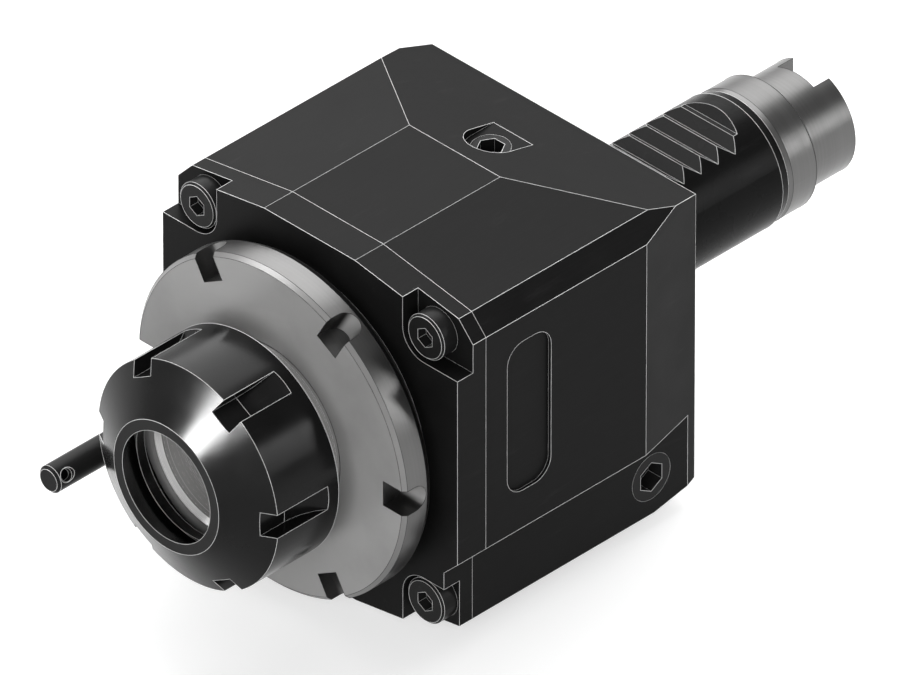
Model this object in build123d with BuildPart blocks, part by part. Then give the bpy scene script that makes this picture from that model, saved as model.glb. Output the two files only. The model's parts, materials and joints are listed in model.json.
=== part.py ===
from build123d import *
import math
import os

# Axial driven tool holder, in millimetres.
# The origin is on the shank's axis at the rear seating face. +Y runs to the rear along the shank,
# -Y to the front where the tool is held, +Z is up and +X is right as seen from the front.

# Body outline as seen from the front
BODY_LENGTH = 70.5
BODY_HALF_HEIGHT = 40.85
CREST_HALF_WIDTH = 12.6
SHOULDER_X = 37.0
SHOULDER_Z = 36.9
SIDE_X = 40.95
CORNER_Z = 32.6
UNDERCUT_Z = -18.1
LOWER_X = 37.2

# Slopes that lead the body back to its seating face
SLOPE_LENGTH = 30.3
SLOPE_DROP = 7.25
BOTTOM_SLOPE_LENGTH = 32.6
BOTTOM_SLOPE_DROP = 6.2
TAPER_LENGTH = 18.0
TAPER_INSET = 4.35

# Front cover, its screws and its dowel pins
COVER_THICKNESS = 7.85
POCKET_X = 25.8
POCKET_Z = 25.9
POCKET_DEPTH = 4.3
POCKET_CORNER_RADIUS = 5.8
COVER_SCREW_OFFSET = 31.7
COVER_SCREW_RADIUS = 3.0
COVER_SCREW_LENGTH = 16.0
COVER_SCREW_HEAD_RADIUS = 5.0
COVER_SCREW_HEAD_HEIGHT = 4.0
COVER_SCREW_HEAD_CHAMFER = 0.45
COVER_SCREW_HEX = 4.0
COVER_SCREW_HEX_DEPTH = 2.3
COVER_HOLE_CLEARANCE = 0.3
DOWEL_RADIUS = 2.5
DOWEL_OFFSET_Z = 37.0
DOWEL_HALF_LENGTH = 4.5

# Shank with its clamping teeth
SHANK_RADIUS = 15.0
SHANK_LENGTH = 48.7
SHANK_LEAD_LENGTH = 1.95
SHANK_LEAD_DEPTH = 0.4
SHANK_SEAM_ANGLE = 22.5
SHANK_SEAL_FRONT_Y = 0.6
SHANK_SEAL_GROOVE_WIDTH = 2.8
SHANK_SEAL_SECTION = 2.5
TOOTH_PITCH = 4.8
TOOTH_COUNT = 7
TOOTH_ROOT_Z = 11.14
TOOTH_CREST_Z = 13.1
TOOTH_FLANK_SHARE = 0.46
LAST_ROOT_Y = 38.2
TOOTH_END_RUN = 2.6
TOOTH_END_LAND = 1.1

# Paired tapered roller bearings at the front of the spindle
BEARING_BORE_RADIUS = 17.5
BEARING_OUTER_RADIUS = 31.0
BEARING_WIDTH = 18.0
BEARING_CUP_WIDTH = 14.0
BEARING_INSET = 2.0
ROLLER_COUNT = 12
ROLLER_RADIUS = 3.15
ROLLER_LENGTH = 10.5
ROLLER_HALF_ANGLE = 3.0
ROLLER_TILT = 14.0
ROLLER_FROM_MIDDLE = 8.3
ROLLER_RIB_HEIGHT = 1.9
CAGE_THICKNESS = 1.2
CAGE_RIM = 1.4

# Needle bearing in the end ring of the shank
NEEDLE_CUP_RADIUS = 11.0
NEEDLE_CUP_WALL = 0.9
NEEDLE_CUP_LENGTH = 8.0
NEEDLE_COUNT = 10
NEEDLE_LENGTH = 5.6
NEEDLE_CAGE_THICKNESS = 0.9
END_RING_RADIUS = 14.7
END_RING_LENGTH = 8.3
END_RING_CHAMFER = 0.4
END_RING_LEAD = 1.3
END_RING_SPIGOT_RADIUS = 12.2
END_RING_SPIGOT_LENGTH = 2.8
REAR_SEAL_WIDTH = 3.0

# Lock ring that clamps the front bearings and carries the front seal
LOCK_RING_RADIUS = 37.45
LOCK_RING_REACH = 11.0
LOCK_RING_WIDTH = 7.7
LOCK_RING_FRONT_CHAMFER = 0.85
LOCK_RING_REAR_CHAMFER = 0.95
LOCK_RING_REAR_CHAMFER_LENGTH = 1.6
LOCK_RING_THREAD_RADIUS = 32.4
LOCK_RING_NOSE_RISE = 3.35
NOTCH_COUNT = 6
NOTCH_WIDTH = 5.8
NOTCH_DEPTH = 5.8
NOTCH_FLOOR_RADIUS = 31.4
SEAL_POCKET_RADIUS = 26.0
SEAL_POCKET_FLOOR = 5.0
SEAL_WIDTH = 7.0
SEAL_CASE = 1.6
SEAL_LIP_WIDTH = 2.0

# Spindle
NOSE_REACH = 27.3
NOSE_THREAD_RADIUS = 20.0
NOSE_CHAMFER = 1.0
COLLAR_RADIUS = 19.4
TAPER_MOUTH_RADIUS = 15.0
TAPER_MOUTH_CHAMFER = 1.1
TAPER_HALF_ANGLE = 8.0
TOOL_BORE_RADIUS = 10.0
TOOL_BORE_DEPTH = 48.0
SHAFT_RADIUS = 8.0
SPINDLE_NUT_RADIUS = 23.0
SPINDLE_NUT_WIDTH = 8.0
SPINDLE_NUT_SLOT_WIDTH = 5.0
SPINDLE_NUT_SLOT_DEPTH = 2.0
SPINDLE_NUT_SLOTS = 4

# Driven coupling on the rear end of the spindle
COUPLING_RADIUS = 12.5
COUPLING_LENGTH = 12.5
COUPLING_GAP = 0.3
DRIVE_SLOT_WIDTH = 10.0
DRIVE_SLOT_DEPTH = 4.35
COUPLING_SEAT_RADIUS = 6.0
COUPLING_SEAT_LENGTH = 5.0
COUPLING_SCREW_RADIUS = 2.5
COUPLING_SCREW_HEAD_RADIUS = 4.6
COUPLING_SCREW_LENGTH = 14.0
COUPLING_SCREW_HEX = 3.0
COUPLING_SCREW_HEX_DEPTH = 1.6
KEY_WIDTH = 4.0
KEY_SHAFT_DEPTH = 2.5
KEY_HUB_DEPTH = 1.8

# Collet clamping nut and the extractor ring inside it
NUT_RADIUS = 25.0
NUT_LENGTH = 23.2
NUT_STANDOFF = 5.4
NUT_CONE_LENGTH = 6.0
NUT_FACE_RADIUS = 14.6
NUT_MOUTH_RADIUS = 12.25
NUT_REAR_CHAMFER = 0.5
NUT_COLLET_ANGLE = 30.0
NUT_SLOT_COUNT = 6
NUT_SLOT_WIDTH = 5.55
NUT_SLOT_FLOOR_RADIUS = 21.8
NUT_SLOT_FLAT_END = 10.9
NUT_SLOT_CUTTER_RADIUS = 14.5
EXTRACTOR_SEAT = 8.2
EXTRACTOR_THICKNESS = 1.25
EXTRACTOR_OUTER_RADIUS = 19.2
EXTRACTOR_LIP_RADIUS = 14.9
EXTRACTOR_LIP_REACH = 1.7
EXTRACTOR_BACK_RADIUS = 15.8
EXTRACTOR_LEDGE_RADIUS = 17.9
EXTRACTOR_LEDGE_WIDTH = 0.7

# Coolant supply: inlet in the seating face, long drilling, channel in the cover, jet pipe
DRILLING_X = -29.5
DRILLING_Z = -25.5
DRILLING_RADIUS = 2.0
INLET_RADIUS = 4.0
INLET_DEPTH = 6.0
INLET_SEAL_RADIUS = 5.6
INLET_SEAL_THICKNESS = 1.2
CHANNEL_DEPTH = 3.0
PIPE_X = -36.45
PIPE_Z = -18.4
PIPE_RADIUS = 3.0
PIPE_BORE_RADIUS = 1.6
PIPE_REACH = 36.3
PIPE_SPIGOT_RADIUS = 2.4
PIPE_SPIGOT_LENGTH = 5.0
PIPE_TIP_CHAMFER = 0.6
PIPE_END_WALL = 1.2
JET_RADIUS = 1.4
JET_CHAMFER = 0.45
JET_FROM_TIP = 2.6

# Plugs that close the cross drilling at the side and the grease port on top
SIDE_PLUG_Y = -12.7
SIDE_PLUG_Z = -27.9
SIDE_PLUG_RADIUS = 5.3
SIDE_PLUG_LENGTH = 7.0
SIDE_PLUG_HEX = 6.0
SIDE_PLUG_HEX_DEPTH = 3.8
CROSS_DRILLING_RADIUS = 2.5
TOP_PLUG_Y = -20.25
TOP_PLUG_RADIUS = 4.07
TOP_PLUG_LENGTH = 6.0
TOP_PLUG_HEX = 5.0
TOP_PLUG_HEX_DEPTH = 3.2
TOP_POCKET_HALF_WIDTH = 5.45
TOP_POCKET_FLOOR_Z = 36.95
GREASE_PORT_RADIUS = 1.5

# Shallow bare recess on the right side
RECESS_Y = -50.65
RECESS_Z = 8.8
RECESS_LENGTH = 35.8
RECESS_WIDTH = 12.2
RECESS_CORNER_RADIUS = 4.5
RECESS_DEPTH = 0.75

# Bores behind the bearings; the chamber's radius is that of the roller circle and this rise
CHAMBER_RISE = 2.75
CHAMBER_GAP = 1.0
SHANK_BORE_RADIUS = 9.2

# Clearances per side
SEAT_CLEARANCE = 0.02
THREAD_CLEARANCE = 0.05
RUNNING_CLEARANCE = 0.05
ROLLING_CLEARANCE = 0.03
LOOSE_CLEARANCE = 0.1
HOLE_OVERRUN = 1.0

# Bores either side of the outer rings, clear of the cages
ROLLER_PITCH_RADIUS = (BEARING_BORE_RADIUS + BEARING_OUTER_RADIUS) / 2
LOCK_RING_NOSE_BORE = ROLLER_PITCH_RADIUS + LOCK_RING_NOSE_RISE
CHAMBER_RADIUS = ROLLER_PITCH_RADIUS + CHAMBER_RISE

# Planes along the axis, from the nut to the coupling
FRONT_Y = -BODY_LENGTH
SEAM_Y = FRONT_Y + COVER_THICKNESS
POCKET_FLOOR_Y = FRONT_Y + POCKET_DEPTH
LOCK_RING_FRONT_Y = FRONT_Y - LOCK_RING_REACH
LOCK_RING_REAR_Y = LOCK_RING_FRONT_Y + LOCK_RING_WIDTH
NUT_REAR_Y = LOCK_RING_FRONT_Y - NUT_STANDOFF
NUT_FRONT_Y = NUT_REAR_Y - NUT_LENGTH
NOSE_Y = FRONT_Y - NOSE_REACH
BEARING_FRONT_Y = SEAM_Y + BEARING_INSET
BEARING_MIDDLE_Y = BEARING_FRONT_Y + BEARING_WIDTH
BEARING_REAR_Y = BEARING_MIDDLE_Y + BEARING_WIDTH
CUP_FRONT_Y = BEARING_MIDDLE_Y - BEARING_CUP_WIDTH
CUP_REAR_Y = BEARING_MIDDLE_Y + BEARING_CUP_WIDTH
SPINDLE_NUT_REAR_Y = BEARING_REAR_Y + SPINDLE_NUT_WIDTH
CHAMBER_REAR_Y = SPINDLE_NUT_REAR_Y + CHAMBER_GAP
END_RING_REAR_Y = SHANK_LENGTH + END_RING_LENGTH
SPIGOT_FRONT_Y = SHANK_LENGTH - END_RING_SPIGOT_LENGTH
COUPLING_FRONT_Y = END_RING_REAR_Y + COUPLING_GAP
COUPLING_REAR_Y = COUPLING_FRONT_Y + COUPLING_LENGTH
DRIVE_SLOT_FLOOR_Y = COUPLING_REAR_Y - DRIVE_SLOT_DEPTH
SHAFT_END_Y = COUPLING_FRONT_Y + COUPLING_SEAT_LENGTH

LEDGE_STEP = SIDE_X - LOWER_X
LEDGE_Z = UNDERCUT_Z - LEDGE_STEP


def across(y):
    """Plane square to the axis at y, facing the front: sketch x is X and sketch y is Z."""
    return Plane.XZ.offset(-y)


def turned_profile(*points):
    """Closed half section of a turned part, given as (radius, y) points."""
    with BuildSketch(Plane.XY) as profile:
        with BuildLine():
            Polyline(*points, close=True)
        make_face()
    return profile.sketch


def ring_profile(inner_radius, outer_radius, front_y, rear_y):
    """Half section of a plain ring."""
    return turned_profile(
        (inner_radius, front_y),
        (outer_radius, front_y),
        (outer_radius, rear_y),
        (inner_radius, rear_y),
    )


# Wedges that taper the rear of both sides
with BuildPart() as side_tapers:
    with BuildSketch(Plane.XY):
        with BuildLine():
            Polyline(
                (SIDE_X, -TAPER_LENGTH),
                (SIDE_X - TAPER_INSET, 0),
                (SIDE_X + HOLE_OVERRUN, 0),
                (SIDE_X + HOLE_OVERRUN, -TAPER_LENGTH),
                close=True,
            )
        make_face()
        mirror(about=Plane.YZ)
    extrude(amount=BODY_HALF_HEIGHT, both=True)

# Housing: block and shank in one piece
with BuildPart() as housing:
    # Wide block, undercut along both lower edges, the tapered stretch too
    with BuildSketch(across(0)):
        with BuildLine():
            Polyline(
                (0, BODY_HALF_HEIGHT),
                (CREST_HALF_WIDTH, BODY_HALF_HEIGHT),
                (SHOULDER_X, SHOULDER_Z),
                (SIDE_X, CORNER_Z),
                (SIDE_X, LEDGE_Z),
                (0, LEDGE_Z),
                close=True,
            )
        make_face()
        mirror(about=Plane.YZ)
    extrude(amount=-SEAM_Y)
    add(side_tapers.part, mode=Mode.SUBTRACT)
    ledge_edges = housing.edges().filter_by_position(Axis.Z, LEDGE_Z, LEDGE_Z)
    chamfer(ledge_edges.filter_by(Axis.X, reverse=True), length=LEDGE_STEP)
    # Narrower lower block
    with BuildSketch(across(0)):
        with BuildLine():
            Polyline(
                (0, UNDERCUT_Z),
                (LOWER_X, UNDERCUT_Z),
                (LOWER_X, -SHOULDER_Z),
                (CREST_HALF_WIDTH, -BODY_HALF_HEIGHT),
                (0, -BODY_HALF_HEIGHT),
                close=True,
            )
        make_face()
        mirror(about=Plane.YZ)
    extrude(amount=-SEAM_Y)
    add(side_tapers.part, mode=Mode.SUBTRACT)
    # Slopes at the rear of the top and the bottom
    with BuildSketch(Plane.YZ):
        with BuildLine():
            Polyline(
                (-SLOPE_LENGTH, BODY_HALF_HEIGHT),
                (0, BODY_HALF_HEIGHT - SLOPE_DROP),
                (0, BODY_HALF_HEIGHT + HOLE_OVERRUN),
                (-SLOPE_LENGTH, BODY_HALF_HEIGHT + HOLE_OVERRUN),
                close=True,
            )
        make_face()
        with BuildLine():
            Polyline(
                (-BOTTOM_SLOPE_LENGTH, -BODY_HALF_HEIGHT),
                (0, BOTTOM_SLOPE_DROP - BODY_HALF_HEIGHT),
                (0, -BODY_HALF_HEIGHT - HOLE_OVERRUN),
                (-BOTTOM_SLOPE_LENGTH, -BODY_HALF_HEIGHT - HOLE_OVERRUN),
                close=True,
            )
        make_face()
    extrude(amount=SIDE_X + HOLE_OVERRUN, both=True, mode=Mode.SUBTRACT)
    # Shank with its lead and the groove of its seal ring; its seam line lies beside the teeth
    shank_seal_radius = SHANK_RADIUS - RUNNING_CLEARANCE - SHANK_SEAL_SECTION / 2
    groove_floor_radius = shank_seal_radius - SHANK_SEAL_SECTION / 2 - SEAT_CLEARANCE
    groove_rear_y = SHANK_SEAL_FRONT_Y + SHANK_SEAL_GROOVE_WIDTH
    shank_profile = turned_profile(
        (0, 0),
        (SHANK_RADIUS, 0),
        (SHANK_RADIUS, SHANK_SEAL_FRONT_Y),
        (groove_floor_radius, SHANK_SEAL_FRONT_Y),
        (groove_floor_radius, groove_rear_y),
        (SHANK_RADIUS, groove_rear_y),
        (SHANK_RADIUS, SHANK_LENGTH - SHANK_LEAD_LENGTH),
        (SHANK_RADIUS - SHANK_LEAD_DEPTH, SHANK_LENGTH),
        (0, SHANK_LENGTH),
    )
    revolve(shank_profile.rotate(Axis.Y, -SHANK_SEAM_ANGLE), axis=Axis.Y)
    # Clamping teeth: a saw-tooth line cut away along the top of the shank
    first_root_y = LAST_ROOT_Y - (TOOTH_COUNT - 1) * TOOTH_PITCH
    above_shank = SHANK_RADIUS + HOLE_OVERRUN
    tooth_line = [(first_root_y - TOOTH_END_RUN, above_shank)]
    for tooth in range(TOOTH_COUNT):
        root_y = first_root_y + tooth * TOOTH_PITCH
        crest_y = root_y + TOOTH_FLANK_SHARE * TOOTH_PITCH
        tooth_line.append((root_y, TOOTH_ROOT_Z))
        tooth_line.append((crest_y, TOOTH_CREST_Z))
    tooth_line.append((crest_y + TOOTH_END_LAND, TOOTH_CREST_Z))
    tooth_line.append((crest_y + TOOTH_END_LAND + TOOTH_END_RUN, above_shank))
    with BuildSketch(Plane.YZ):
        with BuildLine():
            Polyline(*tooth_line, close=True)
        make_face()
    extrude(amount=SHANK_RADIUS + HOLE_OVERRUN, both=True, mode=Mode.SUBTRACT)
    # Bearing bore, chamber for the spindle nut, bore through the shank, seat of the end ring
    revolve(
        turned_profile(
            (0, SEAM_Y),
            (BEARING_OUTER_RADIUS + SEAT_CLEARANCE, SEAM_Y),
            (BEARING_OUTER_RADIUS + SEAT_CLEARANCE, CUP_REAR_Y),
            (CHAMBER_RADIUS, CUP_REAR_Y),
            (CHAMBER_RADIUS, CHAMBER_REAR_Y),
            (SHANK_BORE_RADIUS, CHAMBER_REAR_Y),
            (SHANK_BORE_RADIUS, SPIGOT_FRONT_Y - LOOSE_CLEARANCE),
            (END_RING_SPIGOT_RADIUS + SEAT_CLEARANCE, SPIGOT_FRONT_Y - LOOSE_CLEARANCE),
            (END_RING_SPIGOT_RADIUS + SEAT_CLEARANCE, SHANK_LENGTH),
            (0, SHANK_LENGTH),
        ),
        axis=Axis.Y,
        mode=Mode.SUBTRACT,
    )
    # Tapped holes and dowel holes in the front joint face
    with BuildSketch(across(SEAM_Y)):
        with GridLocations(2 * COVER_SCREW_OFFSET, 2 * COVER_SCREW_OFFSET, 2, 2):
            Circle(COVER_SCREW_RADIUS + THREAD_CLEARANCE)
    extrude(
        amount=-(COVER_SCREW_LENGTH - COVER_THICKNESS + POCKET_DEPTH + HOLE_OVERRUN),
        mode=Mode.SUBTRACT,
    )
    with BuildSketch(across(SEAM_Y)):
        with GridLocations(0, 2 * DOWEL_OFFSET_Z, 1, 2):
            Circle(DOWEL_RADIUS + SEAT_CLEARANCE)
    extrude(amount=-(DOWEL_HALF_LENGTH + LOOSE_CLEARANCE), mode=Mode.SUBTRACT)
    # Coolant: long drilling from the joint face to the inlet, whose seal lies in a counterbore
    with BuildSketch(across(SEAM_Y)):
        with Locations((DRILLING_X, DRILLING_Z)):
            Circle(DRILLING_RADIUS)
    extrude(amount=SEAM_Y, mode=Mode.SUBTRACT)
    with BuildSketch(across(0)):
        with Locations((DRILLING_X, DRILLING_Z)):
            Circle(INLET_RADIUS)
    extrude(amount=INLET_DEPTH, mode=Mode.SUBTRACT)
    with BuildSketch(across(0)):
        with Locations((DRILLING_X, DRILLING_Z)):
            Circle(INLET_SEAL_RADIUS + SEAT_CLEARANCE)
    extrude(amount=INLET_SEAL_THICKNESS, mode=Mode.SUBTRACT)
    # Cross drilling from the right side to the long drilling, and the seat of its plug
    with BuildSketch(Plane.YZ.offset(LOWER_X)):
        with Locations((SIDE_PLUG_Y, SIDE_PLUG_Z)):
            Circle(CROSS_DRILLING_RADIUS)
    extrude(amount=DRILLING_X - LOWER_X, mode=Mode.SUBTRACT)
    with BuildSketch(Plane.YZ.offset(LOWER_X)):
        with Locations((SIDE_PLUG_Y, SIDE_PLUG_Z)):
            Circle(SIDE_PLUG_RADIUS + SEAT_CLEARANCE)
    extrude(amount=-SIDE_PLUG_LENGTH, mode=Mode.SUBTRACT)
    # Pocket in the top slope, the seat of its plug, and the grease port below it
    with BuildSketch(Plane.XY.offset(TOP_POCKET_FLOOR_Z)):
        with Locations((0, TOP_PLUG_Y)):
            Circle(TOP_POCKET_HALF_WIDTH)
            Rectangle(2 * TOP_POCKET_HALF_WIDTH, SLOPE_LENGTH, align=(Align.CENTER, Align.MIN))
    extrude(amount=BODY_HALF_HEIGHT - TOP_POCKET_FLOOR_Z + HOLE_OVERRUN, mode=Mode.SUBTRACT)
    with BuildSketch(Plane.XY.offset(TOP_POCKET_FLOOR_Z)):
        with Locations((0, TOP_PLUG_Y)):
            Circle(TOP_PLUG_RADIUS + SEAT_CLEARANCE)
    extrude(amount=-TOP_PLUG_LENGTH, mode=Mode.SUBTRACT)
    with BuildSketch(Plane.XY.offset(TOP_POCKET_FLOOR_Z)):
        with Locations((0, TOP_PLUG_Y)):
            Circle(GREASE_PORT_RADIUS)
    extrude(amount=SPINDLE_NUT_RADIUS - TOP_POCKET_FLOOR_Z, mode=Mode.SUBTRACT)
    # Bare recess on the right side
    with BuildSketch(Plane.YZ.offset(SIDE_X)):
        with Locations((RECESS_Y, RECESS_Z)):
            RectangleRounded(RECESS_WIDTH, RECESS_LENGTH, RECESS_CORNER_RADIUS)
    extrude(amount=-RECESS_DEPTH, mode=Mode.SUBTRACT)

# Square-cut seal ring in the groove at the root of the shank, squeezed to the shank's diameter
with BuildPart() as shank_seal:
    with BuildSketch(Plane.XY):
        with Locations((shank_seal_radius, SHANK_SEAL_FRONT_Y + SHANK_SEAL_GROOVE_WIDTH / 2)):
            Rectangle(SHANK_SEAL_SECTION, SHANK_SEAL_SECTION)
    revolve(axis=Axis.Y)

# Front cover with four open corner pockets for its screws
with BuildPart() as front_cover:
    with BuildSketch(across(SEAM_Y)):
        with BuildLine():
            Polyline(
                (0, BODY_HALF_HEIGHT),
                (CREST_HALF_WIDTH, BODY_HALF_HEIGHT),
                (SHOULDER_X, SHOULDER_Z),
                (SIDE_X, CORNER_Z),
                (SIDE_X, UNDERCUT_Z),
                (LOWER_X, LEDGE_Z),
                (LOWER_X, -SHOULDER_Z),
                (CREST_HALF_WIDTH, -BODY_HALF_HEIGHT),
                (0, -BODY_HALF_HEIGHT),
                close=True,
            )
        make_face()
        mirror(about=Plane.YZ)
        Circle(LOCK_RING_THREAD_RADIUS, mode=Mode.SUBTRACT)
        with GridLocations(2 * COVER_SCREW_OFFSET, 2 * COVER_SCREW_OFFSET, 2, 2):
            Circle(COVER_SCREW_RADIUS + COVER_HOLE_CLEARANCE, mode=Mode.SUBTRACT)
    extrude(amount=COVER_THICKNESS)
    with BuildSketch(across(POCKET_FLOOR_Y)) as pockets:
        with Locations((POCKET_X, POCKET_Z)):
            Rectangle(
                SIDE_X - POCKET_X + HOLE_OVERRUN,
                BODY_HALF_HEIGHT - POCKET_Z + HOLE_OVERRUN,
                align=(Align.MIN, Align.MIN),
            )
        fillet(pockets.vertices().sort_by_distance((0, 0))[0], radius=POCKET_CORNER_RADIUS)
        mirror(about=Plane.YZ)
        mirror(about=Plane.XZ)
    extrude(amount=POCKET_DEPTH, mode=Mode.SUBTRACT)
    # Blind dowel holes and the channel from the long drilling to the pipe
    with BuildSketch(across(SEAM_Y)):
        with GridLocations(0, 2 * DOWEL_OFFSET_Z, 1, 2):
            Circle(DOWEL_RADIUS + SEAT_CLEARANCE)
    extrude(amount=DOWEL_HALF_LENGTH + LOOSE_CLEARANCE, mode=Mode.SUBTRACT)
    with BuildSketch(across(SEAM_Y)):
        channel_angle = math.degrees(math.atan2(PIPE_Z - DRILLING_Z, PIPE_X - DRILLING_X))
        with Locations(((PIPE_X + DRILLING_X) / 2, (PIPE_Z + DRILLING_Z) / 2)):
            SlotCenterToCenter(
                math.hypot(PIPE_X - DRILLING_X, PIPE_Z - DRILLING_Z),
                2 * DRILLING_RADIUS,
                rotation=channel_angle,
            )
    extrude(amount=CHANNEL_DEPTH, mode=Mode.SUBTRACT)
    with BuildSketch(across(FRONT_Y)):
        with Locations((PIPE_X, PIPE_Z)):
            Circle(PIPE_SPIGOT_RADIUS + RUNNING_CLEARANCE)
    extrude(amount=-(PIPE_SPIGOT_LENGTH + LOOSE_CLEARANCE), mode=Mode.SUBTRACT)

# Cover screws with low heads, sunk in the corner pockets
with BuildPart() as cover_screws:
    with BuildSketch(across(POCKET_FLOOR_Y)):
        with GridLocations(2 * COVER_SCREW_OFFSET, 2 * COVER_SCREW_OFFSET, 2, 2):
            Circle(COVER_SCREW_HEAD_RADIUS)
    extrude(amount=COVER_SCREW_HEAD_HEIGHT)
    chamfer(
        cover_screws.faces().sort_by(Axis.Y)[0:4].edges(),
        length=COVER_SCREW_HEAD_CHAMFER,
    )
    with BuildSketch(across(POCKET_FLOOR_Y)):
        with GridLocations(2 * COVER_SCREW_OFFSET, 2 * COVER_SCREW_OFFSET, 2, 2):
            Circle(COVER_SCREW_RADIUS)
    extrude(amount=-COVER_SCREW_LENGTH)
    with BuildSketch(across(POCKET_FLOOR_Y - COVER_SCREW_HEAD_HEIGHT)):
        with GridLocations(2 * COVER_SCREW_OFFSET, 2 * COVER_SCREW_OFFSET, 2, 2):
            RegularPolygon(COVER_SCREW_HEX / 2, 6, major_radius=False, rotation=30)
    extrude(amount=-COVER_SCREW_HEX_DEPTH, mode=Mode.SUBTRACT)

# Dowel pins between cover and housing
with BuildPart() as dowel_pins:
    with BuildSketch(across(SEAM_Y + DOWEL_HALF_LENGTH)):
        with GridLocations(0, 2 * DOWEL_OFFSET_Z, 1, 2):
            Circle(DOWEL_RADIUS)
    extrude(amount=2 * DOWEL_HALF_LENGTH)

# U-shaped notch for the hook spanner, cut by an end mill that points at the axis
with BuildPart() as ring_notch:
    with BuildSketch(Plane.YZ.offset(NOTCH_FLOOR_RADIUS)):
        with Locations((LOCK_RING_FRONT_Y + NOTCH_DEPTH - NOTCH_WIDTH / 2, 0)):
            Circle(NOTCH_WIDTH / 2)
            Rectangle(NOTCH_DEPTH, NOTCH_WIDTH, align=(Align.MAX, Align.CENTER))
    extrude(amount=LOCK_RING_RADIUS - NOTCH_FLOOR_RADIUS + HOLE_OVERRUN)

# Lock ring: notched flange, thread in the cover, nose on the front bearing
with BuildPart() as bearing_lock_ring:
    seal_front_y = LOCK_RING_FRONT_Y + SEAL_POCKET_FLOOR
    revolve(
        turned_profile(
            (COLLAR_RADIUS + LOOSE_CLEARANCE, LOCK_RING_FRONT_Y),
            (LOCK_RING_RADIUS - LOCK_RING_FRONT_CHAMFER, LOCK_RING_FRONT_Y),
            (LOCK_RING_RADIUS, LOCK_RING_FRONT_Y + LOCK_RING_FRONT_CHAMFER),
            (LOCK_RING_RADIUS, LOCK_RING_REAR_Y - LOCK_RING_REAR_CHAMFER_LENGTH),
            (LOCK_RING_RADIUS - LOCK_RING_REAR_CHAMFER, LOCK_RING_REAR_Y),
            (LOCK_RING_THREAD_RADIUS - THREAD_CLEARANCE, LOCK_RING_REAR_Y),
            (LOCK_RING_THREAD_RADIUS - THREAD_CLEARANCE, SEAM_Y),
            (BEARING_OUTER_RADIUS - THREAD_CLEARANCE, SEAM_Y),
            (BEARING_OUTER_RADIUS - THREAD_CLEARANCE, CUP_FRONT_Y),
            (LOCK_RING_NOSE_BORE, CUP_FRONT_Y),
            (LOCK_RING_NOSE_BORE, seal_front_y + SEAL_WIDTH),
            (SEAL_POCKET_RADIUS + SEAT_CLEARANCE, seal_front_y + SEAL_WIDTH),
            (SEAL_POCKET_RADIUS + SEAT_CLEARANCE, seal_front_y),
            (COLLAR_RADIUS + LOOSE_CLEARANCE, seal_front_y),
        ),
        axis=Axis.Y,
    )
    for notch in range(NOTCH_COUNT):
        add(ring_notch.part.rotate(Axis.Y, notch * 360 / NOTCH_COUNT), mode=Mode.SUBTRACT)

# Radial shaft seal in the lock ring
with BuildPart() as front_seal:
    revolve(
        turned_profile(
            (COLLAR_RADIUS + RUNNING_CLEARANCE, seal_front_y),
            (SEAL_POCKET_RADIUS, seal_front_y),
            (SEAL_POCKET_RADIUS, seal_front_y + SEAL_WIDTH),
            (SEAL_POCKET_RADIUS - SEAL_CASE, seal_front_y + SEAL_WIDTH),
            (SEAL_POCKET_RADIUS - SEAL_CASE, seal_front_y + SEAL_LIP_WIDTH),
            (COLLAR_RADIUS + RUNNING_CLEARANCE, seal_front_y + SEAL_LIP_WIDTH),
        ),
        axis=Axis.Y,
    )

# Rollers halfway between the bearing's bore and its outer diameter
roller_growth = ROLLER_LENGTH / 2 * math.tan(math.radians(ROLLER_HALF_ANGLE))
roller_small_radius = ROLLER_RADIUS - roller_growth
roller_big_radius = ROLLER_RADIUS + roller_growth


def roller_line(offset_small, offset_big, overrun=0.0):
    """Ends of a line beside the roller's axis, as (radius, distance from the middle plane)."""
    along = (math.sin(math.radians(ROLLER_TILT)), math.cos(math.radians(ROLLER_TILT)))
    outward = (along[1], -along[0])
    half = ROLLER_LENGTH / 2 + overrun
    small_end = (
        ROLLER_PITCH_RADIUS - half * along[0] + offset_small * outward[0],
        ROLLER_FROM_MIDDLE - half * along[1] + offset_small * outward[1],
    )
    big_end = (
        ROLLER_PITCH_RADIUS + half * along[0] + offset_big * outward[0],
        ROLLER_FROM_MIDDLE + half * along[1] + offset_big * outward[1],
    )
    return small_end, big_end


def radius_at(line, distance):
    """Radius of a line's extension at a distance from the middle plane."""
    (small_radius, small_distance), (big_radius, big_distance) = line
    slope = (big_radius - small_radius) / (big_distance - small_distance)
    return small_radius + slope * (distance - small_distance)


# Raceways, rib and cage of a tapered roller bearing, as lines beside the roller's axis
cup_line = roller_line(
    roller_small_radius + ROLLING_CLEARANCE,
    roller_big_radius + ROLLING_CLEARANCE,
)
cone_line = roller_line(
    -roller_small_radius - ROLLING_CLEARANCE,
    -roller_big_radius - ROLLING_CLEARANCE,
)
rib_foot = roller_line(0, -roller_big_radius - ROLLING_CLEARANCE, overrun=LOOSE_CLEARANCE)[1]
rib_top = roller_line(0, ROLLER_RIB_HEIGHT - roller_big_radius, overrun=LOOSE_CLEARANCE)[1]
cage_inner_line = roller_line(-CAGE_THICKNESS / 2, -CAGE_THICKNESS / 2, overrun=CAGE_RIM)
cage_outer_line = roller_line(CAGE_THICKNESS / 2, CAGE_THICKNESS / 2, overrun=CAGE_RIM)


def bearing_profile(side, *points):
    """Half section given as (radius, distance from the middle plane), on one side of it."""
    return turned_profile(
        *[(radius, BEARING_MIDDLE_Y + side * distance) for radius, distance in points]
    )


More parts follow.
